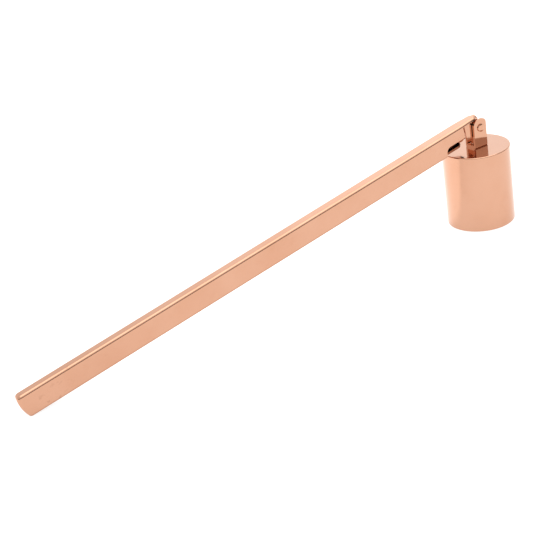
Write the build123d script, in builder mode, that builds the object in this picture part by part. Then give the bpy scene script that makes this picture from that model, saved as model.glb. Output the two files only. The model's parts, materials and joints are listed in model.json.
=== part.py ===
"""A hinged candle snuffer: a round metal cup on the end of a long folded handle.

The origin is the centre of the cup's mouth, which is the face that the snuffer stands on.
+Z points up through the cup and the handle runs towards -X, down to the same surface.
All lengths are in millimetres.
"""

from build123d import *
from math import asin, atan2, cos, hypot, sin, sqrt
import os

# The cup: a shell that is drawn in one piece, closed and flat on top
cup_diameter = 28.0
cup_height = 32.5
cup_wall = 0.8
cup_corner = 0.8
cup_inner_corner = 0.5
lip_rounding = 0.25

# The bracket: a strip folded into a U that stands on the cup
bracket_sheet = 1.0
bracket_length = 6.3
bracket_width = 6.0
bracket_bend = 0.5
bracket_inner_bend = 0.3
bracket_centre_x = 0.85
ear_above_pivot = 3.7
handle_side_corner = 2.6
far_side_corner = 2.0
edge_break = 0.15

# The pivot, where the hinge rivet crosses both ears
pivot_x = 1.1
pivot_above_cup = 8.2
pivot_z = cup_height + pivot_above_cup

# Rivets and washers
rivet_diameter = 2.0
hinge_head_diameter = 3.2
hinge_head_height = 0.6
peened_diameter = 2.8
peened_height = 0.45
running_clearance = 0.05
washer_diameter = 4.4
washer_thickness = 0.3
fixing_head_diameter = 3.0
fixing_head_height = 0.55

# The handle: one sheet pressed into a channel, closed round its tip and by a short floor near the hinge
handle_sheet = 0.9
handle_length = 210.2
web_above_pivot = 5.2
wall_height = 9.0
fold_radius = 0.8
root_width = 5.6
tip_width = 4.3
tip_corner = 1.6
tip_curve = 14.0
tip_curve_height = 2.0

# The tongue: the end of the handle where the walls are pinched in, under the web, to turn between the ears
tongue_width = 3.3
tongue_root = 6.4
shoulder_end = 8.4
tongue_tip = -0.4
tongue_radius = 2.8
roof_end_width = 4.3
roof_corner = 1.2

# The notch in the front wall, and the short floor that joins the walls behind it
relief_start = 6.6
relief_end = 18.3
relief_top = -0.3
relief_inner_corner = 1.9
relief_outer_corner = 2.4
relief_edge_rounding = 0.6
notch_to_middle = 1.4
floor_start = 9.4
floor_end = 26.0
floor_corner = 2.4
floor_overlap = 0.4
rear_wall_start = 7.6
rear_wall_corner = 1.0


def resting_tilt():
    """Slope of the handle, in radians, that brings the lower corner of its tip down to Z = 0."""
    corner_height = web_above_pivot - wall_height
    corner_along = handle_length - tip_curve + sqrt(tip_curve**2 - (tip_curve_height - corner_height) ** 2)
    return atan2(corner_height, corner_along) + asin(pivot_z / hypot(corner_along, corner_height))


tilt = resting_tilt()
pivot = Vector(pivot_x, 0, pivot_z)
along_handle = Vector(-cos(tilt), 0, -sin(tilt))
across_web = Vector(-sin(tilt), 0, cos(tilt))
side_plane = Plane(origin=pivot, x_dir=along_handle, z_dir=(0, 1, 0))
web_plane = Plane(origin=pivot + across_web * web_above_pivot, x_dir=along_handle, z_dir=across_web)
pivot_axis = Axis(pivot, (0, 1, 0))


def shoulder_radius(step, run):
    """Radius of the two equal arcs that carry a line sideways by step over a length of run."""
    return (step**2 + run**2) / (4 * step)


def plan_view(plane, start, end):
    """The handle seen from above, from start to end along it: half an outline and its mirror image."""
    tongue_half = tongue_width / 2
    root_half = root_width / 2
    middle = ((tongue_root + shoulder_end) / 2, (tongue_half + root_half) / 2)
    radius = shoulder_radius(root_half - tongue_half, shoulder_end - tongue_root)
    with BuildSketch(plane) as plan:
        with BuildLine():
            Line((start, 0), (start, tongue_half))
            Line((start, tongue_half), (tongue_root, tongue_half))
            RadiusArc((tongue_root, tongue_half), middle, -radius)
            RadiusArc(middle, (shoulder_end, root_half), radius)
            Line((shoulder_end, root_half), (end, tip_width / 2))
            Line((end, tip_width / 2), (end, 0))
            mirror(about=Plane.XZ)
        make_face()
    return plan


def side_view(drop):
    """The handle seen from the side, or the space inside a sheet as thick as drop: roof, tip and lower edge."""
    high = web_above_pivot - drop
    start = tongue_tip - tongue_radius - drop
    bottom = web_above_pivot - wall_height - drop
    curve = tip_curve - drop
    curve_centre = handle_length - tip_curve
    upper_end = (curve_centre + sqrt(curve**2 - (high - tip_curve_height) ** 2), high)
    lower_end = (curve_centre + sqrt(curve**2 - (bottom - tip_curve_height) ** 2), bottom)
    with BuildSketch(side_plane) as view:
        with BuildLine():
            Line((start, high), upper_end)
            RadiusArc(upper_end, lower_end, curve)
            Polyline(lower_end, (start, bottom), (start, high))
        make_face()
    return view


def make_cup():
    """The drawn shell, with a hole at its centre for the rivet that fixes the bracket."""
    outer = cup_diameter / 2
    with BuildPart() as cup:
        with BuildSketch(Plane.XZ):
            with BuildLine():
                Polyline((0, cup_height), (outer, cup_height), (outer, 0), (outer - cup_wall, 0),
                         (outer - cup_wall, cup_height - cup_wall), (0, cup_height - cup_wall), close=True)
            make_face()
        revolve(axis=Axis.Z)
        fillet(cup.edges().group_by(Axis.Z)[-1], cup_corner)
        inner_roof = cup.faces().filter_by(Axis.Z).group_by(Axis.Z)[-2]
        fillet(inner_roof.edges(), cup_inner_corner)
        fillet(cup.edges().group_by(Axis.Z)[0], lip_rounding)
        with Locations((0, 0, cup_height)):
            Hole(rivet_diameter / 2, depth=2 * cup_wall)
    return cup


def make_bracket():
    """The U with two rounded ears, drilled for the hinge rivet and for its fixing rivet."""
    height = pivot_above_cup + ear_above_pivot
    with BuildPart() as bracket:
        with BuildSketch(Plane.YZ.offset(bracket_centre_x)):
            with Locations((0, cup_height + height / 2)):
                Rectangle(bracket_width, height)
            fillet(vertices().group_by(Axis.Y)[0], bracket_bend)
            with Locations((0, cup_height + bracket_sheet + height / 2)):
                RectangleRounded(bracket_width - 2 * bracket_sheet, height, bracket_inner_bend,
                                 mode=Mode.SUBTRACT)
            with Locations((0, cup_height + height)):
                Rectangle(bracket_width - 2 * bracket_sheet, height, mode=Mode.SUBTRACT)
        extrude(amount=bracket_length / 2, both=True)
        ear_tops = bracket.edges().filter_by(Axis.Y).group_by(Axis.Z)[-1]
        fillet(ear_tops.group_by(Axis.X)[0], handle_side_corner)
        ear_tops = bracket.edges().filter_by(Axis.Y).group_by(Axis.Z)[-1]
        fillet(ear_tops.group_by(Axis.X)[-1], far_side_corner)
        with Locations(Plane(origin=(pivot_x, 0, pivot_z), z_dir=(0, 1, 0))):
            Cylinder(rivet_diameter / 2, 2 * bracket_width, mode=Mode.SUBTRACT)
        with Locations((0, 0, cup_height)):
            Cylinder(rivet_diameter / 2, 4 * bracket_sheet, mode=Mode.SUBTRACT)
    return bracket


def dome_radius(diameter, height):
    """Radius of the ball that a low domed head of this diameter and height is cut from."""
    return ((diameter / 2) ** 2 + height**2) / (2 * height)


def make_hinge_rivet():
    """A round rivet through both ears: a low dome in front and a smaller peened end behind."""
    shank = pivot_x + rivet_diameter / 2
    head = pivot_x + hinge_head_diameter / 2
    tail = pivot_x + peened_diameter / 2
    ear_face = bracket_width / 2
    front_tip = (pivot_x, -ear_face - hinge_head_height)
    rear_tip = (pivot_x, ear_face + peened_height)
    with BuildPart() as hinge_rivet:
        with BuildSketch(Plane.XY.offset(pivot_z)):
            with BuildLine():
                Line(front_tip, rear_tip)
                RadiusArc(rear_tip, (tail, ear_face), dome_radius(peened_diameter, peened_height))
                Polyline((tail, ear_face), (shank, ear_face), (shank, -ear_face), (head, -ear_face))
                RadiusArc((head, -ear_face), front_tip, dome_radius(hinge_head_diameter, hinge_head_height))
            make_face()
        revolve(axis=pivot_axis)
    return hinge_rivet


def make_washer(side):
    """A thin friction washer between one ear and the tongue of the handle; side is -1 or 1."""
    inner_face = bracket_width / 2 - bracket_sheet
    middle_y = side * (inner_face - washer_thickness / 2)
    with BuildPart() as washer:
        with Locations(Plane(origin=(pivot_x, middle_y, pivot_z), z_dir=(0, 1, 0))):
            Cylinder(washer_diameter / 2, washer_thickness)
            Cylinder(rivet_diameter / 2, 2 * washer_thickness, mode=Mode.SUBTRACT)
    return washer


def make_bracket_rivet():
    """The rivet that holds the bracket: a flat head inside the U, peened over inside the cup."""
    shank = rivet_diameter / 2
    head = fixing_head_diameter / 2
    tail = peened_diameter / 2
    under_head = cup_height + bracket_sheet
    over_head = under_head + fixing_head_height
    roof = cup_height - cup_wall
    tip = (0, roof - peened_height)
    with BuildPart() as bracket_rivet:
        with BuildSketch(Plane.XZ):
            with BuildLine():
                Polyline(tip, (0, over_head), (head, over_head), (head, under_head),
                         (shank, under_head), (shank, roof), (tail, roof))
                RadiusArc((tail, roof), tip, dome_radius(peened_diameter, peened_height))
            make_face()
        revolve(axis=Axis.Z)
        fillet(bracket_rivet.edges().group_by(Axis.Z)[-1], edge_break)
    return bracket_rivet


def make_hollow():
    """The space inside the folded sheet, run out past the tongue and below the walls."""
    plan = plan_view(Plane.XY, tongue_tip - 2 * tongue_radius, handle_length)
    roof = side_view(handle_sheet)
    with BuildPart() as hollow:
        with BuildSketch(web_plane):
            add(plan.sketch_local)
            fillet(vertices().group_by(Axis.X)[-1], tip_corner)
            offset(amount=-handle_sheet, mode=Mode.REPLACE)
        extrude(amount=-2 * wall_height)
        extrude(roof.sketch, amount=root_width, both=True, mode=Mode.INTERSECT)
    return hollow


def make_notch():
    """The space that a side cutter takes out of the front wall and out of the floor's front edge."""
    bottom = web_above_pivot - wall_height
    with BuildPart() as notch:
        with BuildSketch(side_plane.offset(-notch_to_middle)) as window:
            with BuildLine():
                Polyline((relief_start, -tongue_radius), (relief_start, relief_top), (relief_end, relief_top),
                         (relief_end, bottom), (relief_end + root_width, bottom),
                         (relief_end + root_width, -wall_height), (0, -wall_height), (0, -tongue_radius), close=True)
            make_face()
            upper = window.vertices().filter_by_position(Axis.Y, relief_top - 0.01, relief_top + 0.01)
            fillet(upper.sort_by(Axis.X)[-1], relief_outer_corner)
            fillet(upper.sort_by(Axis.X)[0], relief_inner_corner)
            lower = window.vertices().filter_by_position(Axis.Y, bottom - 0.01, bottom + 0.01)
            fillet(lower.sort_by(Axis.X)[0], relief_edge_rounding)
        extrude(amount=-root_width)
    return notch


def make_floor():
    """The short floor between the walls, which runs into both of them; its front corner is rounded off."""
    bottom = web_above_pivot - wall_height
    half = root_width / 2 - handle_sheet + floor_overlap
    with BuildPart() as floor:
        with BuildSketch(Plane(origin=pivot + across_web * bottom, x_dir=along_handle, z_dir=across_web)):
            with Locations(((floor_start + floor_end) / 2, 0)):
                Rectangle(floor_end - floor_start, 2 * half)
        extrude(amount=handle_sheet)
        front_corners = floor.edges().filter_by(Axis((0, 0, 0), across_web)).group_by(Axis.Y)[0]
        fillet(front_corners.sort_by(Axis.X)[-1], floor_corner)
    return floor


def make_roof():
    """The web over the tongue, which stays wide and rounded where the walls under it are pinched in."""
    root_half = root_width / 2
    end_half = roof_end_width / 2
    with BuildPart() as roof:
        with BuildSketch(web_plane):
            with BuildLine():
                Polyline((shoulder_end, -root_half), (shoulder_end, root_half), (tongue_tip, end_half),
                         (tongue_tip, -end_half), close=True)
            make_face()
            fillet(vertices().group_by(Axis.X)[0], roof_corner)
        extrude(amount=-handle_sheet)
        end_face = roof.faces().sort_by(Axis(pivot, along_handle))[-1]
        top_face = roof.faces().sort_by(Axis(pivot, across_web))[-1]
        fillet(top_face.edges().filter_by(lambda edge: edge not in end_face.edges()), fold_radius)
    return roof


def make_handle():
    """The pressed channel: tongue and shoulder at the pivot, then a long taper to a round tip."""
    bottom = web_above_pivot - wall_height
    plan = plan_view(web_plane, tongue_tip - tongue_radius, handle_length)
    outside = side_view(0)
    hollow = make_hollow()
    notch = make_notch()
    roof = make_roof()
    floor = make_floor()
    with BuildPart() as handle:
        extrude(plan.sketch, amount=-wall_height)
        tip_edges = handle.edges().filter_by(Axis(web_plane.origin, across_web))
        fillet(tip_edges.group_by(Axis(web_plane.origin, along_handle))[-1], tip_corner)
        extrude(outside.sketch, amount=root_width, both=True, mode=Mode.INTERSECT)
        wall_edges = handle.faces().filter_by(lambda face: face.normal_at().dot(across_web) < 0.5).edges()
        roof_faces = handle.faces().filter_by(lambda face: face.normal_at().dot(across_web) > 0.9)
        fillet(roof_faces.edges().filter_by(lambda edge: edge in wall_edges), fold_radius)
        add(hollow.part, mode=Mode.SUBTRACT)
        add(roof.part)
        add(floor.part)
        with BuildSketch(side_plane) as side:
            with BuildLine():
                lobe = CenterArc((0, 0), tongue_radius, 105, 165)
                Polyline(lobe @ 0, (tongue_tip, web_above_pivot), (tongue_tip, 2 * web_above_pivot),
                         (2 * handle_length, 2 * web_above_pivot), (2 * handle_length, bottom),
                         (rear_wall_start, bottom), (relief_start, -tongue_radius), lobe @ 1)
            make_face()
            lower = side.vertices().filter_by_position(Axis.Y, bottom - 0.01, bottom + 0.01)
            fillet(lower.sort_by(Axis.X)[0], rear_wall_corner)
        extrude(amount=root_width, both=True, mode=Mode.INTERSECT)
        add(notch.part, mode=Mode.SUBTRACT)
        with Locations(Plane(origin=pivot, z_dir=(0, 1, 0))):
            Cylinder(rivet_diameter / 2 + running_clearance, 2 * root_width, mode=Mode.SUBTRACT)
    return handle


pieces = {
    "cup": make_cup(),
    "bracket": make_bracket(),
    "bracket_rivet": make_bracket_rivet(),
    "hinge_rivet": make_hinge_rivet(),
    "front_washer": make_washer(-1),
    "rear_washer": make_washer(1),
    "handle": make_handle(),
}

os.makedirs("parts", exist_ok=True)
for name, piece in pieces.items():
    piece.part.label = name
    export_step(piece.part, f"parts/{name}.step")
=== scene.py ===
"""The looks of a hinged candle snuffer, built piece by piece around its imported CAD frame."""

import bmesh
import bpy
import json
import numpy as np
from math import asin, atan2, cos, hypot, pi, radians, sin, sqrt
from mathutils import Matrix, Vector

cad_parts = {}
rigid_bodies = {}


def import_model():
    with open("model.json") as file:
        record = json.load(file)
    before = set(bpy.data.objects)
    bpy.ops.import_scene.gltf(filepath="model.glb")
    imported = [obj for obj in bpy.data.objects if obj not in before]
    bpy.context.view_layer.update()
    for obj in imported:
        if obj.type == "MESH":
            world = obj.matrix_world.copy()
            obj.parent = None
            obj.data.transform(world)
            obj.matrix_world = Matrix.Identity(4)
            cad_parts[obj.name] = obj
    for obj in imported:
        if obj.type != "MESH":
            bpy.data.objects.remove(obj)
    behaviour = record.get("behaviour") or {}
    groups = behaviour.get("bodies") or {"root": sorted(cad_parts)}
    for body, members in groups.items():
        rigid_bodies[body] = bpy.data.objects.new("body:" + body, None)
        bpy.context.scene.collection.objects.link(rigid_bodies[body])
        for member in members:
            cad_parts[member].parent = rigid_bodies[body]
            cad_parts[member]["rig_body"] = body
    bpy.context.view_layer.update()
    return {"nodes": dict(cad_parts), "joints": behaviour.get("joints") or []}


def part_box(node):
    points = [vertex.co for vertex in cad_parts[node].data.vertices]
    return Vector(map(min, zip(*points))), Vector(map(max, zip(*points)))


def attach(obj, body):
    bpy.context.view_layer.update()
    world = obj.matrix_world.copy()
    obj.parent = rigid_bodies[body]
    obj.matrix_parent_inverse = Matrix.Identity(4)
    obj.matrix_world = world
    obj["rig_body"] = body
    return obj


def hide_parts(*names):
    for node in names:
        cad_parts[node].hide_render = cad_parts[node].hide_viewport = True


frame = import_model()
MM = 0.001

# ---------------------------------------------------------------------------------------------
# The cup: a shell deep-drawn from steel sheet, closed on top and open below to smother the flame.
# It is polished, plated in rose gold and lacquered, and its mouth edge is turned smooth.
# ---------------------------------------------------------------------------------------------


def rounded_profile(corners, steps=10, margin=0.04):
    """A line through corners of (across, along, radius): each corner becomes an arc of that radius, with a
    point just before and just after it, so that the straight runs stay flat right up to the arc."""
    corners = np.array(corners, float)
    line = [corners[0, :2]]
    for before, corner, after in zip(corners[:-2], corners[1:-1], corners[2:]):
        into = (corner[:2] - before[:2]) / np.linalg.norm(corner[:2] - before[:2])
        out = (after[:2] - corner[:2]) / np.linalg.norm(after[:2] - corner[:2])
        turn = np.arccos(np.clip(into @ out, -1, 1))
        reach = corner[2] * np.tan(turn / 2)
        centre = corner[:2] - into * reach + (out - into * (into @ out)) / sin(turn) * corner[2]
        start = corner[:2] - into * reach - centre
        across = into * corner[2]
        angle = np.linspace(0, turn, steps + 1)[:, None]
        line.append(corner[:2] - into * (reach + margin))
        line.extend(centre + start * np.cos(angle) + across * np.sin(angle))
        line.append(corner[:2] + out * (reach + margin))
    line.append(corners[-1, :2])
    return np.array(line)


def grid_quads(rows, columns, wrap=False):
    """Four corners of every cell in a grid of points; wrap joins the last column to the first."""
    row = np.arange(rows - 1)[:, None] * columns
    column = np.arange(columns if wrap else columns - 1)[None, :]
    beside = (column + 1) % columns
    below, after = row + column, row + beside
    return np.stack([below, after, columns + after, columns + below], -1).reshape(-1, 4)


def turned(profile, centre, axis, beside, segments=240):
    """A profile of (radius, height) carried round an axis: centre + radius * (cos a * beside + sin a * third)
    + height * axis, for a from 0 to a full turn."""
    axis, beside = np.array(axis, float), np.array(beside, float)
    third = np.cross(axis, beside)
    angle = np.linspace(0, 2 * pi, segments, endpoint=False)[None, :, None]
    radius = profile[:, 0][:, None, None]
    height = profile[:, 1][:, None, None]
    around = np.cos(angle) * beside + np.sin(angle) * third
    points = np.array(centre, float) + radius * around + height * axis
    return points.reshape(-1, 3), grid_quads(len(profile), segments, wrap=True)


def add_piece(name, points, quads, node, finish):
    """Puts points in millimetres into a mesh, merges its seams and poles, turns its faces outwards, and hangs
    it on the body of the CAD node that it stands for."""
    mesh = bpy.data.meshes.new(name)
    mesh.from_pydata((points * MM).tolist(), [], quads.tolist())
    work = bmesh.new()
    work.from_mesh(mesh)
    bmesh.ops.remove_doubles(work, verts=work.verts, dist=1e-3 * MM)
    bmesh.ops.dissolve_degenerate(work, edges=work.edges, dist=1e-4 * MM)
    bmesh.ops.recalc_face_normals(work, faces=work.faces)
    work.to_mesh(mesh)
    work.free()
    mesh.shade_smooth()
    mesh.materials.append(finish)
    piece = bpy.data.objects.new(name, mesh)
    bpy.context.scene.collection.objects.link(piece)
    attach(piece, frame["nodes"][node]["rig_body"])
    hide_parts(node)
    return piece


class Signal:
    """A number that varies over a surface. Arithmetic on it adds Math nodes."""

    def __init__(self, finish, socket):
        self.finish = finish
        self.socket = socket

    def math(self, operation, first, second):
        return self.finish.node("ShaderNodeMath", {"operation": operation}, {0: first, 1: second})

    def __add__(self, other):
        return self.math("ADD", self, other)

    def __radd__(self, other):
        return self.math("ADD", other, self)

    def __sub__(self, other):
        return self.math("SUBTRACT", self, other)

    def __rsub__(self, other):
        return self.math("SUBTRACT", other, self)

    def __mul__(self, other):
        return self.math("MULTIPLY", self, other)

    def __rmul__(self, other):
        return self.math("MULTIPLY", other, self)

    def step(self, low, high):
        """0 below low and 1 above high, with a smooth rise between; high may be the lower one."""
        return self.finish.node("ShaderNodeMapRange", {"interpolation_type": "SMOOTHSTEP"},
                                {"Value": self, "From Min": low, "From Max": high})


class Finish:
    """A node tree, for a material or for the world, and the one way in which nodes are added to it."""

    def __init__(self, tree):
        self.tree = tree

    def node(self, kind, settings=None, sockets=None, output=0):
        """Adds a node, makes its settings, sets or links its sockets and gives one of its outputs."""
        made = self.tree.nodes.new(kind)
        for setting, value in (settings or {}).items():
            setattr(made, setting, value)
        for socket, value in (sockets or {}).items():
            if isinstance(value, Signal):
                self.tree.links.new(value.socket, made.inputs[socket])
            else:
                made.inputs[socket].default_value = value
        return Signal(self, made.outputs[output])

    def place(self, scale=(1, 1, 1), turn=(0, 0, 0), shift=(0, 0, 0)):
        """Object coordinates, shifted, turned and stretched."""
        where = self.node("ShaderNodeTexCoord", output=3)
        return self.node("ShaderNodeMapping", {}, {"Vector": where, "Location": shift, "Rotation": turn,
                                                   "Scale": scale})

    def noise(self, where, scale, detail=2.0, roughness=0.5):
        """Cloudy variation from 0 to 1, with scale patches to the metre."""
        return self.node("ShaderNodeTexNoise", {}, {"Vector": where, "Scale": scale, "Detail": detail,
                                                    "Roughness": roughness})

    def blend(self, share, first, second):
        """One colour where share is 0 and another where it is 1."""
        return self.node("ShaderNodeMix", {"data_type": "RGBA"}, {0: share, 6: first, 7: second}, output=2)

    def part(self, vector, axis):
        """The x, y or z of a vector, for axis 0, 1 or 2."""
        return self.node("ShaderNodeSeparateXYZ", {}, {0: vector}, output=axis)

    def surface(self, output, shader):
        """Makes a shader the one that the tree gives out."""
        self.tree.links.new(shader.socket, self.tree.nodes.new(output).inputs["Surface"])


def empty_finish(owner):
    """Clears the nodes of a material or a world, ready for its own."""
    owner.use_nodes = True
    owner.node_tree.nodes.clear()
    return Finish(owner.node_tree)


cloud_scale = 55
wave_scale = 130
mark_scale = 240
line_scale = 900
fleck_scale = 1500
lacquer = {"Coat Weight": 0.4, "Coat Roughness": 0.04, "Coat IOR": 1.5}


def plated_metal(name, tone, deep_tone, gloss, haze, grain, lines, stains_and_shade=None):
    """Polished rose-gold plate under clear lacquer. tone and deep_tone are the plate's two shades, gloss its
    least roughness, haze what finger marks add to it, grain the depth of its faint waviness and lines the
    (turn, stretch) of its polishing lines. The last argument gives a share of brown, partly dull stains and
    partly painted shade, if any."""
    material = bpy.data.materials.new(name)
    finish = empty_finish(material)
    turn, stretch = lines
    where = finish.place()
    patches = finish.noise(where, cloud_scale, 3, 0.55)
    marks = finish.noise(where, mark_scale, 4, 0.6).step(0.52, 0.72)
    streaks = finish.noise(finish.place(scale=stretch, turn=turn), line_scale, 3, 0.6)
    fleck = finish.noise(finish.place(shift=(0.3, 0.1, 0.2)), fleck_scale, 1, 0.5).step(0.68, 0.76)
    shade = (patches - 0.5) * 1.6 + 0.5 + marks * 0.18 + fleck * 0.25
    colour = finish.blend(shade.step(0.0, 1.2), (*tone, 1), (*deep_tone, 1))
    if stains_and_shade:
        # mixes in brown: dull stains and painted shade, as the last argument shares them out
        colour = finish.blend(stains_and_shade(finish), colour, (*stain_and_shade_brown, 1))
    rough = gloss + haze * (marks * 0.6 + patches * 0.4) + (streaks - 0.5) * haze * 0.5
    waves = finish.noise(where, wave_scale, 2, 0.4)
    bump = finish.node("ShaderNodeBump", {}, {"Strength": 0.35, "Distance": grain * MM,
                                              "Height": waves + streaks * 0.12})
    shader = finish.node("ShaderNodeBsdfPrincipled", {}, {
        "Base Color": colour, "Metallic": 1.0, "Roughness": rough, "Normal": bump, **lacquer})
    finish.surface("ShaderNodeOutputMaterial", shader)
    return material


cup_low, cup_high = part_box("cup")
cup_radius = (cup_high.x - cup_low.x) / 2 / MM
cup_height = cup_high.z / MM
cup_wall = 0.8
cup_corner = 0.4
inner_corner = 0.5
lip_rounding = 0.25

cup_profile = rounded_profile([
    (0, cup_height, 0),
    (cup_radius, cup_height, cup_corner),
    (cup_radius, 0, lip_rounding),
    (cup_radius - cup_wall, 0, lip_rounding),
    (cup_radius - cup_wall, cup_height - cup_wall, inner_corner),
    (0, cup_height - cup_wall, 0),
])
upright = {"axis": (0, 0, 1), "beside": (1, 0, 0)}
cup_points, cup_quads = turned(cup_profile, (0, 0, 0), segments=360, **upright)
rose_gold = (0.635, 0.348, 0.230)
deep_rose_gold = (0.595, 0.305, 0.190)
# brown for the handle's dull stains and for its painted shade
stain_and_shade_brown = (0.36, 0.16, 0.09)
round_lines = ((0, 0, 0), (1, 1, 0.02))
cup_finish = plated_metal("cup_plate", rose_gold, deep_rose_gold, 0.10, 0.05, 0.02, round_lines)
add_piece("snuffer_cup", cup_points, cup_quads, "cup", cup_finish)

# ---------------------------------------------------------------------------------------------
# The bracket: a strip of the same sheet bent into a U, with two round-topped ears for the hinge.
# It is blanked, folded, fixed to the cup by one rivet and plated together with it.
# ---------------------------------------------------------------------------------------------


def sheet_solid(outer, inner, rims):
    """Closes the space between two matching grids of points: both faces, and a rim of quads along each side
    that rims names."""
    rows, columns = outer.shape[:2]
    count = rows * columns
    index = np.arange(count).reshape(rows, columns)
    sides = {"first_row": index[0], "last_row": index[-1],
             "first_column": index[:, 0], "last_column": index[:, -1]}
    quads = [grid_quads(rows, columns), grid_quads(rows, columns)[:, ::-1] + count]
    for rim in rims:
        side = sides[rim]
        quads.append(np.stack([side[:-1], side[1:], side[1:] + count, side[:-1] + count], -1))
    return np.concatenate([outer.reshape(-1, 3), inner.reshape(-1, 3)]), np.concatenate(quads)


def ease_edges(piece, width, angle=40):
    """Breaks the sharp edges that blanking leaves, as tumbling and polishing do."""
    bevel = piece.modifiers.new("eased_edges", "BEVEL")
    bevel.width = width * MM
    bevel.segments = 3
    bevel.limit_method = "ANGLE"
    bevel.angle_limit = radians(angle)
    bevel.harden_normals = True


def strip_path(half_width, foot, top, bend, rows):
    """The U seen from its end: down one side, round a bend, across the foot and up again, as (across, up)."""
    corners = [(-half_width, top, 0), (-half_width, foot, bend),
               (half_width, foot, bend), (half_width, top, 0)]
    side = rounded_profile(corners, steps=10)[1:-1]
    rise = top - ear_round + ear_round * np.sin(np.linspace(pi / 2, 0, rows))
    left = np.column_stack([np.full(rows, -half_width), rise])
    return np.concatenate([left, side, left[::-1] * (-1, 1)])


bracket_low, bracket_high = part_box("bracket")
bracket_sheet = 1.0
bracket_bend = 0.5
bracket_inner_bend = 0.3
handle_side_round = 2.6
far_side_round = 2.0
ear_round = max(handle_side_round, far_side_round)
ear_rows = 24
ear_columns = 13
ear_top = bracket_high.z / MM
ear_left, ear_right = bracket_low.x / MM, bracket_high.x / MM
half_bracket = bracket_high.y / MM


def ear_strip(half_width, foot, bend):
    """One face of the strip: the U's path, spread from the ear's left outline to its right one, which close
    in along quarter circles at the top."""
    path = strip_path(half_width, foot, ear_top, bend, ear_rows)
    rise = path[:, 1]
    over_left = np.clip(rise - (ear_top - handle_side_round), 0, handle_side_round)
    over_right = np.clip(rise - (ear_top - far_side_round), 0, far_side_round)
    left = ear_left + handle_side_round - np.sqrt(handle_side_round**2 - over_left**2)
    right = ear_right - far_side_round + np.sqrt(far_side_round**2 - over_right**2)
    share = np.linspace(0, 1, ear_columns)[None, :]
    x = left[:, None] * (1 - share) + right[:, None] * share
    y = np.repeat(path[:, :1], x.shape[1], 1)
    z = np.repeat(path[:, 1:], x.shape[1], 1)
    return np.stack([x, y, z], -1)


bracket_outer = ear_strip(half_bracket, cup_height, bracket_bend)
bracket_inner = ear_strip(half_bracket - bracket_sheet, cup_height + bracket_sheet, bracket_inner_bend)
bracket_points, bracket_quads = sheet_solid(bracket_outer, bracket_inner,
                                            ["first_row", "last_row", "first_column", "last_column"])
upright_lines = ((0, 0, 0), (1, 1, 0.05))
bracket_finish = plated_metal("bracket_plate", rose_gold, deep_rose_gold, 0.07, 0.05, 0.015, upright_lines)
bracket = add_piece("hinge_bracket", bracket_points, bracket_quads, "bracket",
                    bracket_finish)
ease_edges(bracket, 0.12)

# ---------------------------------------------------------------------------------------------
# The two rivets: a domed one that the handle turns on, and a low-headed one that fixes the bracket.
# Both are turned from soft wire, set with a press and plated.
# ---------------------------------------------------------------------------------------------


def dome(radius, height, steps=14):
    """The top of a ball, cut off so that it is height high and radius wide, as (radius, height) points from
    its rim in to its middle."""
    ball = (radius**2 + height**2) / (2 * height)
    angle = np.linspace(asin(radius / ball), 0, steps)
    return np.column_stack([ball * np.sin(angle), height - ball + ball * np.cos(angle)])


hinge = frame["joints"][0]
pivot = np.array(hinge["pos_m"]) / MM
pin_low, pin_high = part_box("hinge_rivet")
pin_radius = 1.0
head_radius = (pin_high.x - pin_low.x) / 2 / MM
head_height = -pin_low.y / MM - half_bracket
tail_radius = 1.4
tail_height = pin_high.y / MM - half_bracket
head_skirt = 0.38
tail_skirt = 0.12

head = dome(head_radius, head_height - head_skirt)[::-1] * (1, -1) - (0, half_bracket + head_skirt)
tail = dome(tail_radius, tail_height - tail_skirt) + (0, half_bracket + tail_skirt)
pin_profile = np.concatenate([
    head,
    [(head_radius, -half_bracket), (pin_radius, -half_bracket),
     (pin_radius, half_bracket), (tail_radius, half_bracket)],
    tail,
])
pin_points, pin_quads = turned(pin_profile, (pivot[0], 0, pivot[2]), (0, 1, 0), (1, 0, 0), segments=96)
pin_finish = plated_metal("rivet_plate", rose_gold, deep_rose_gold, 0.08, 0.06, 0.02, upright_lines)
hinge_pin = add_piece("hinge_rivet_pin", pin_points, pin_quads, "hinge_rivet", pin_finish)
ease_edges(hinge_pin, 0.05, 50)

fixing_low, fixing_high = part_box("bracket_rivet")
fixing_radius = fixing_high.x / MM
fixing_top = fixing_high.z / MM
fixing_edge = 0.15
under_head = cup_height + bracket_sheet
roof = cup_height - cup_wall
fixing_tail = dome(tail_radius, roof - fixing_low.z / MM)[::-1] * (1, -1) + (0, roof)
fixing_profile = np.concatenate([
    fixing_tail,
    [(pin_radius, roof), (pin_radius, under_head), (fixing_radius, under_head)],
    rounded_profile([(fixing_radius, under_head, 0), (fixing_radius, fixing_top, fixing_edge),
                     (0, fixing_top, 0)])[1:],
])
fixing_points, fixing_quads = turned(fixing_profile, (0, 0, 0), segments=96, **upright)
add_piece("bracket_fixing_rivet", fixing_points, fixing_quads, "bracket_rivet", pin_finish)

# ---------------------------------------------------------------------------------------------
# The two washers: thin plain rings on the hinge pin, one each side of the handle's tongue.
# They are punched from bright sheet and give the hinge its friction.
# ---------------------------------------------------------------------------------------------

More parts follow.
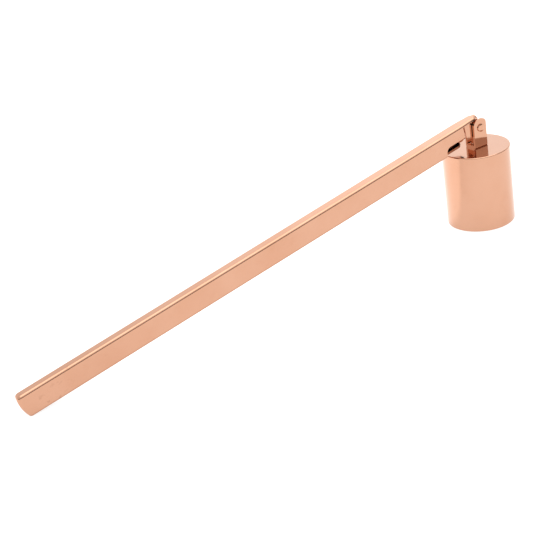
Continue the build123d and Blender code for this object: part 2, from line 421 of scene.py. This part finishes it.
bright_plate = (0.72, 0.40, 0.26)
rubbed_plate = (0.62, 0.33, 0.20)
washer_finish = plated_metal("washer_plate", bright_plate, rubbed_plate, 0.18, 0.08, 0.02, upright_lines)
washers = {"front_washer": "friction_washer_front", "rear_washer": "friction_washer_rear"}
for node, piece_name in washers.items():
    low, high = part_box(node)
    washer_radius = (high.x - low.x) / 2 / MM
    half_sheet = (high.y - low.y) / 2 / MM
    ring = rounded_profile([
        (pin_radius, 0, 0), (pin_radius, half_sheet, 0.06), (washer_radius, half_sheet, 0.1),
        (washer_radius, -half_sheet, 0.1), (pin_radius, -half_sheet, 0.06), (pin_radius, 0, 0),
    ], steps=4, margin=0.02)
    middle = (pivot[0], (low.y + high.y) / 2 / MM, pivot[2])
    points, quads = turned(ring, middle, (0, 1, 0), (1, 0, 0), segments=96)
    add_piece(piece_name, points, quads, node, washer_finish)

# ---------------------------------------------------------------------------------------------
# The handle: one long sheet pressed into a channel, open underneath but for a short floor near the cup.
# Its walls are pinched into a tongue between the ears, the front one is notched over the cup's rim, and
# its tip is closed and rounded. It is plated like the cup, with dull spots near its tip, and painted shade
# along its cut edges and over its tip.
# ---------------------------------------------------------------------------------------------

handle_sheet = 0.9
handle_length = 210.2
web_height = 5.2
wall_height = 9.0
fold = 1.1
inner_fold = 0.15
root_half = 2.8
tip_half = 2.15
tongue_half = 1.65
tongue_root = 6.4
shoulder_end = 8.4
tongue_tip = -0.4
tongue_radius = 2.8
roof_end_half = 2.15
roof_corner = 0.9
tip_corner = 1.6
tip_curve = 14.0
tip_curve_height = 2.0
relief_start = 6.6
relief_end = 18.3
relief_top = -0.3
relief_inner_corner = 1.9
relief_outer_corner = 2.4
relief_edge_rounding = 0.6
tongue_corner = 0.3
notch_to_middle = 1.4
floor_start = 9.4
floor_end = 26.0
floor_corner = 2.4
rear_wall_start = 7.6
rear_wall_corner = 1.0
floor_overlap = 0.15
floor_gap = 0.02
walls_meet = 30.0
pinch_fade = 0.45
lobe_start = radians(270)
lobe_end = radians(105)
lobe_share = 0.8
lobe_fade = 4.0
bulge_stretch = 6.0

bottom = web_height - wall_height
corner_along = handle_length - tip_curve + sqrt(tip_curve**2 - (tip_curve_height - bottom) ** 2)
tilt = atan2(bottom, corner_along) + asin(pivot[2] / hypot(corner_along, bottom))
along = np.array((-cos(tilt), 0, -sin(tilt)))
across = np.array((-sin(tilt), 0, cos(tilt)))


def s_step(value, start, end):
    """0 before start and 1 after end, joined by two equal arcs, which for small steps are two parabolas."""
    share = np.clip((value - start) / (end - start), 0, 1)
    return np.where(share < 0.5, 2 * share**2, 1 - 2 * (1 - share) ** 2)


def half_width(s):
    """Half the web's width: from a rounded end above the tongue out to the shoulder, then a straight taper
    to the tip."""
    past_shoulder = np.clip(s - shoulder_end, 0, None) / (handle_length - shoulder_end)
    over_tongue = np.clip(shoulder_end - s, 0, shoulder_end) / shoulder_end
    width = root_half + (tip_half - root_half) * past_shoulder - (root_half - roof_end_half) * over_tongue
    return width - roof_corner * (1 - s_step(s, tongue_tip, tongue_tip + 2 * roof_corner))


def pinch(s):
    """How far a wall is pressed in: as far as the tongue's side beside the pivot, and nothing past the
    shoulder."""
    return (half_width(s) - tongue_half) * (1 - s_step(s, tongue_root, shoulder_end))


# The outline from above: along one wall, and round a quarter circle to the middle of the tip
wall_run = np.concatenate([np.arange(-4, 12, 0.02), np.linspace(12, handle_length - tip_corner, 200)])
turn = np.linspace(0, pi / 2, 60)[1:]
corner_middle = half_width(handle_length - tip_corner) - tip_corner
outline = np.concatenate([
    np.column_stack([wall_run, -half_width(wall_run)]),
    np.column_stack([handle_length - tip_corner + tip_corner * np.sin(turn),
                     -corner_middle - tip_corner * np.cos(turn)]),
    [(handle_length, -corner_middle / 2), (handle_length, 0)],
])
run = np.concatenate([[0], np.cumsum(np.hypot(*np.diff(outline, axis=0).T))])
heading = np.gradient(outline, run, axis=0)
heading /= np.linalg.norm(heading, axis=1)[:, None]
heading[-2:] = (0, 1)
inward = np.column_stack([-heading[:, 1], heading[:, 0]])


def on_outline(where, depth):
    """The point that lies depth inside the outline, at a length of where along it, as (s, y)."""
    depth = np.asarray(depth, float)
    s = np.interp(where, run, outline[:, 0]) + depth * np.interp(where, run, inward[:, 0])
    y = np.interp(where, run, outline[:, 1]) + depth * np.interp(where, run, inward[:, 1])
    return s, y


def run_at(s):
    """Length along the outline at which the straight wall has reached s."""
    return np.interp(s, outline[: len(wall_run), 0], run[: len(wall_run)])


def along_line(line):
    """Length along a line of points, from its start."""
    return np.concatenate([[0], np.cumsum(np.hypot(*np.diff(line, axis=0).T))])


# The front wall's lower edge from the side: tongue, notch with its rounded corners, then the long straight
# edge
front_edge = rounded_profile([
    (0, -tongue_radius, 0),
    (relief_start, -tongue_radius, tongue_corner),
    (relief_start, relief_top, relief_inner_corner),
    (relief_end, relief_top, relief_outer_corner),
    (relief_end, bottom, relief_edge_rounding),
    (walls_meet, bottom, 0),
], steps=16)
front_length = along_line(front_edge)
front_run = np.unique(np.concatenate([np.arange(0, front_length[-1], 0.16), front_length]))
front_s = np.interp(front_run, front_length, front_edge[:, 0])
front_h = np.interp(front_run, front_length, front_edge[:, 1])

# Where each column of the wall meets the fold: the lines lean over the steep side of the notch, so that
# they spread evenly above it
first_rise = np.interp(relief_start - 0.5, front_edge[:12, 0], front_length[:12])
run_marks = [0, 3, first_rise, first_rise + 3.2, first_rise + 10, front_length[-1]]
fold_marks = [tongue_tip, 3, relief_start - 0.6, relief_start + 1.6, relief_start + 7, walls_meet]
upper_s = np.interp(front_run, run_marks, fold_marks)

# The rear wall's lower edge: tongue, then down a rounded corner to the same straight edge
rear_edge = rounded_profile([
    (0, -tongue_radius, 0),
    (relief_start, -tongue_radius, tongue_corner),
    (rear_wall_start, bottom, rear_wall_corner),
    (walls_meet, bottom, 0),
], steps=16)
rear_length = along_line(rear_edge)
rear_run = np.interp(upper_s, [tongue_tip, walls_meet], [0, rear_length[-1]])
rear_s = np.interp(rear_run, rear_length, rear_edge[:, 0])
rear_h = np.interp(rear_run, rear_length, rear_edge[:, 1])

# Columns beyond the notch: along the taper, then closer together round the tip
tip_stretch = 8
taper_run = run_at(np.linspace(walls_meet, handle_length - tip_stretch, 60)[1:])
tip_run = np.linspace(taper_run[-1], run[-1], 90)[1:]
far_run = np.concatenate([taper_run, tip_run])
upper_run = np.concatenate([run_at(upper_s), far_run])


def channel_face(drop, edge_run, edge_s, edge_h):
    """One face of the sheet, drop inside the outer one: the wall from its lower edge up, the fold as a
    quarter circle, and the web in to the middle. Rows go up and in, and columns from the tongue to the tip.
    """
    bend = fold if drop == 0 else inner_fold
    depth_at_fold = drop + bend
    lower_run = np.concatenate([run_at(edge_s), far_run])
    lower_h = np.concatenate([edge_h, np.full(len(far_run), bottom)])
    rise = (1 - np.cos(np.linspace(0, pi, 26))) / 2
    rise = np.unique(np.concatenate([rise, [0.01, 0.99]]))[:, None]
    fold_angle = np.linspace(0, pi / 2, 12)[1:, None]
    inwards = np.linspace(0, 1, 7)[1:, None]
    high = np.full((1, len(upper_run)), web_height - drop)
    # wall
    where = lower_run * (1 - rise) + upper_run * rise
    wall_s, wall_y = on_outline(where, drop)
    wall_h = lower_h * (1 - rise) + (high - bend) * rise
    below_fold = np.clip((high - bend - wall_h) / pinch_fade, 0, 1)
    wall_y = wall_y + pinch(wall_s) * s_step(below_fold, 0, 1)
    # the tongue's end, a round lobe below and a straight slope above, fades into the upright columns
    lobe = lobe_start + (lobe_end - lobe_start) * np.clip(rise / lobe_share, 0, 1)
    lobe_s = tongue_radius * np.cos(lobe)
    lobe_h = tongue_radius * np.sin(lobe)
    slope = np.clip((rise - lobe_share) / (1 - lobe_share), 0, 1)
    end_s = lobe_s + (tongue_tip - lobe_s) * slope
    end_h = lobe_h + (high[0, 0] - bend - lobe_h) * slope
    fade = np.concatenate([np.clip(1 - edge_run / lobe_fade, 0, 1), np.zeros(len(far_run))])[None, :]
    wall_s = wall_s * (1 - fade) + end_s * fade
    wall_h = wall_h * (1 - fade) + end_h * fade
    # fold
    fold_depth = drop + bend * (1 - np.cos(fold_angle))
    fold_s, fold_y = on_outline(np.repeat(upper_run[None, :], len(fold_angle), 0), fold_depth)
    fold_h = high - bend + bend * np.sin(fold_angle)
    # web
    web_edge_s, web_edge_y = on_outline(upper_run, depth_at_fold)
    middle_s = np.minimum(web_edge_s, handle_length - tip_half - inner_fold)
    web_s = web_edge_s * (1 - inwards) + middle_s * inwards
    web_y = web_edge_y * (1 - inwards)
    web_h = np.full_like(web_s, web_height - drop)
    s = np.concatenate([wall_s, fold_s, web_s])
    y = np.concatenate([wall_y, fold_y, web_y])
    h = np.concatenate([wall_h, fold_h, web_h])
    # the tip's end bulges along an arc, seen from the side
    reach = np.sqrt(tip_curve**2 - (h - tip_curve_height) ** 2)
    near_tip = handle_length - bulge_stretch
    pull = (handle_length - tip_curve + reach - near_tip) / (handle_length - near_tip)
    s = np.where(s > near_tip, near_tip + (s - near_tip) * pull, s)
    return s, y, h


def floor_slab():
    """The short floor: its front edge runs straight behind the notch and rounds off beside the tongue."""
    corner = np.linspace(0, pi / 2, 12)
    s = np.concatenate([floor_start + floor_corner * (1 - np.cos(corner)),
                        np.linspace(floor_start + floor_corner, relief_end - floor_gap, 12)[1:],
                        np.linspace(relief_end + floor_gap, floor_end, 6)])
    into_wall = half_width(s) - handle_sheet + floor_overlap
    round_off = np.concatenate([floor_corner * (1 - np.sin(corner)), np.zeros(len(s) - len(corner))])
    front = np.where(s < relief_end, notch_to_middle - round_off, into_wall)
    y = np.stack([-front, -front / 2, into_wall * 0, into_wall / 2, into_wall])
    s = np.repeat(s[None, :], 5, 0)
    lower = in_place(s, y, np.full_like(s, bottom))
    upper = in_place(s, y, np.full_like(s, bottom + handle_sheet))
    return sheet_solid(lower, upper, ["first_row", "last_row", "first_column", "last_column"])


def in_place(s, y, h):
    """Points from (s along the handle, y across it, h above the pivot) to the object's own frame."""
    return pivot + s[..., None] * along + y[..., None] * (0, 1, 0) + h[..., None] * across


halves = []
for edge in ((front_run, front_s, front_h), (rear_run, rear_s, rear_h)):
    outer_face = in_place(*channel_face(0, *edge))
    inner_face = in_place(*channel_face(handle_sheet, *edge))
    halves.append(sheet_solid(outer_face, inner_face, ["first_row", "first_column"]))
(front_points, front_quads), (rear_points, rear_quads) = halves
before_floor = len(front_points) + len(rear_points)
floor_points, floor_quads = floor_slab()
handle_points = np.concatenate([front_points, rear_points * (1, -1, 1), floor_points])
handle_quads = np.concatenate([front_quads, rear_quads[:, ::-1] + len(front_points),
                               floor_quads + before_floor])
long_lines = ((0, -tilt, 0), (0.02, 1, 1))
spot_scale = 420
group_scale = 90


def handle_stains_and_shade(finish):
    """Small dull spots that thicken towards the tip, a painted shade line along the walls' lower cut edges,
    and a little painted shade over the tip. The line follows the height from the pivot towards the web, and
    the spots and the tip's shade follow the distance along it."""
    where = finish.node("ShaderNodeTexCoord", output=3)
    minus = {"operation": "SUBTRACT"}
    dot = {"operation": "DOT_PRODUCT"}
    from_pivot = finish.node("ShaderNodeVectorMath", minus, {0: where, 1: tuple(pivot * MM)})
    height = finish.node("ShaderNodeVectorMath", dot, {0: from_pivot, 1: tuple(across)}, output=1)
    reach = finish.node("ShaderNodeVectorMath", dot, {0: from_pivot, 1: tuple(along)}, output=1)
    # painted shade: the colour turns brown along the lowest 0.75 mm of the walls, where the rounded edge
    # reflects shaded floor
    painted_edge_shade = height.step((bottom + 0.75) * MM, (bottom + 0.1) * MM)
    groups = finish.noise(where, group_scale, 1, 0.5).step(0.40, 0.62)
    spots = finish.noise(where, spot_scale, 2, 0.5).step(0.60, 0.72) * groups
    near_tip = reach.step(140 * MM, 200 * MM)
    # the brown share: painted shade at the cut edges, dull spots, and a little painted shade over the tip
    return painted_edge_shade * 0.42 + spots * (0.06 + 0.34 * near_tip) + near_tip * 0.06


handle_finish = plated_metal("handle_plate", rose_gold, deep_rose_gold, 0.09, 0.06, 0.02, long_lines,
                             handle_stains_and_shade)
handle = add_piece("folded_handle", handle_points, handle_quads, "handle", handle_finish)
ease_edges(handle, 0.1, 50)

# ---------------------------------------------------------------------------------------------
# The studio: a white table top that is lit through from below, a light surround with a darker strip low in
# front, and one big soft box overhead.
# ---------------------------------------------------------------------------------------------

table_size = 3.0
table_drop = 0.0002
bpy.ops.mesh.primitive_plane_add(size=table_size, location=(0, 0, -table_drop))
table = bpy.context.object
table.name = "table_top"
table_material = bpy.data.materials.new("white_card")
card = empty_finish(table_material)
card_tone = card.blend(card.noise(card.place(), 40, 3), (0.37, 0.37, 0.37, 1), (0.34, 0.34, 0.34, 1))
behind_handle = card.part(card.place(), 1).step(0.000, 0.012)
glow = card.blend(behind_handle, (0.78, 0.778, 0.775, 1), (1.0, 0.998, 0.995, 1))
card.surface("ShaderNodeOutputMaterial", card.node("ShaderNodeBsdfPrincipled", {}, {
    "Base Color": card_tone, "Roughness": 0.9, "Specular IOR Level": 0.1,
    "Emission Color": glow, "Emission Strength": 1.10}))
table.data.materials.append(table_material)

world = bpy.data.worlds.new("studio_surround")
bpy.context.scene.world = world
air = empty_finish(world)
facing = air.node("ShaderNodeTexCoord", output=0)
east, north, up = (air.part(facing, axis) for axis in range(3))
in_front = (north * -1).step(0.0, 0.5)
low_strip = up.step(0.38, 0.26)
behind = north.step(0.2, 0.6)
to_the_right = east.step(-0.05, 0.5)
brighter_right = behind * to_the_right * (0.15 + 0.45 * up.step(0.3, 0.55))
level = 1.0 + behind * 0.1 + brighter_right - in_front * low_strip * 0.95
surround = air.node("ShaderNodeBackground", {}, {"Color": (1.0, 0.995, 0.99, 1), "Strength": level})
air.surface("ShaderNodeOutputWorld", surround)

lamp = bpy.data.lights.new("overhead_box", "AREA")
lamp.shape = "SQUARE"
lamp.size = 1.1
lamp.energy = 4.7
overhead_box = bpy.data.objects.new("overhead_box", lamp)
overhead_box.location = (0.12, -0.1, 1.0)
bpy.context.scene.collection.objects.link(overhead_box)

# ---------------------------------------------------------------------------------------------
# The camera: above the table and to the handle's left, turned a little about its own line of sight.
# ---------------------------------------------------------------------------------------------

camera_place = Vector((-0.24834, -0.30699, 0.18329))
camera_turn = radians(25.26)
camera_down = radians(25.98)
camera_roll = radians(-10.89)
ahead = Vector((sin(camera_turn), cos(camera_turn), 0))
forward = ahead * cos(camera_down) - Vector((0, 0, sin(camera_down)))
level_right = Vector((cos(camera_turn), -sin(camera_turn), 0))
level_up = level_right.cross(forward)
right = level_right * cos(camera_roll) + level_up * sin(camera_roll)
upward = level_up * cos(camera_roll) - level_right * sin(camera_roll)
lens = bpy.data.cameras.new("camera")
lens.sensor_width = 36.0
lens.lens = 67.5422
camera = bpy.data.objects.new("camera", lens)
facing_camera = Matrix((right, upward, -forward)).transposed().to_4x4()
camera.matrix_world = Matrix.Translation(camera_place) @ facing_camera
bpy.context.scene.collection.objects.link(camera)
bpy.context.scene.camera = camera
bpy.context.scene.view_settings.view_transform = "Standard"
